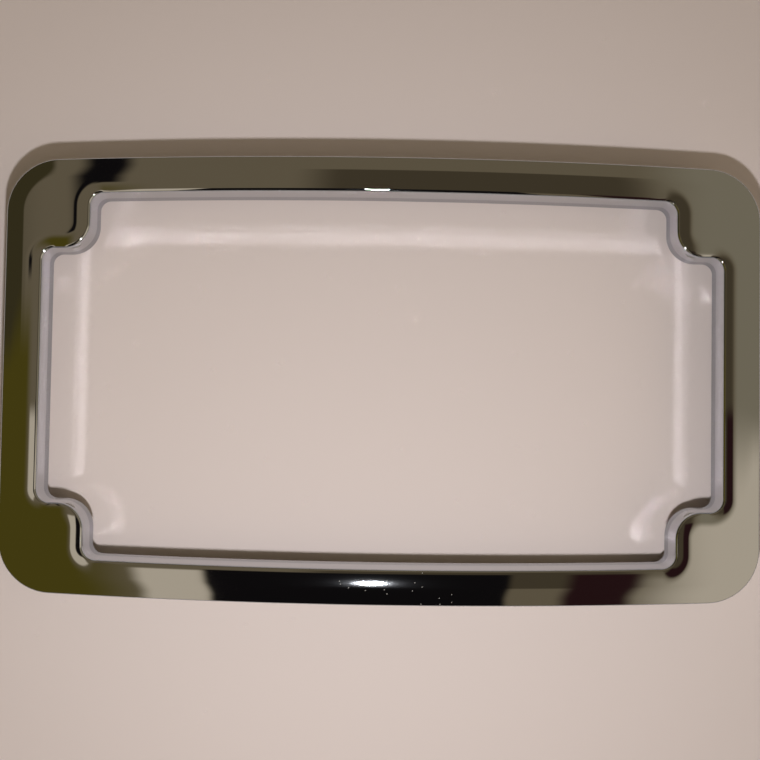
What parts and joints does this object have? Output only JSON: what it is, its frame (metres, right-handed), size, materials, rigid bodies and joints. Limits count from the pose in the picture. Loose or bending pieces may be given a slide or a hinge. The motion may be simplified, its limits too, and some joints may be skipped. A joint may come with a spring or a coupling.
{
  "type": "license plate frame",
  "caption": "Chrome-plated open frame for a motorcycle license plate, with rounded corners, a lobe in each window corner, a rear plate recess and tapped bosses.",
  "frame": {"origin": "centre of the rear rim's plane, under the middle of the frame", "axes": "+X along the width, +Y up the height as the plate is read, +Z out of the front face"},
  "size_m": [0.183, 0.108, 0.0155],
  "materials": {
    "chrome": "bright chrome plate on polished zinc, as-cast satin behind"
  },
  "bodies": {
    "root": {"frame": "chrome"}
  },
  "joints": []
}
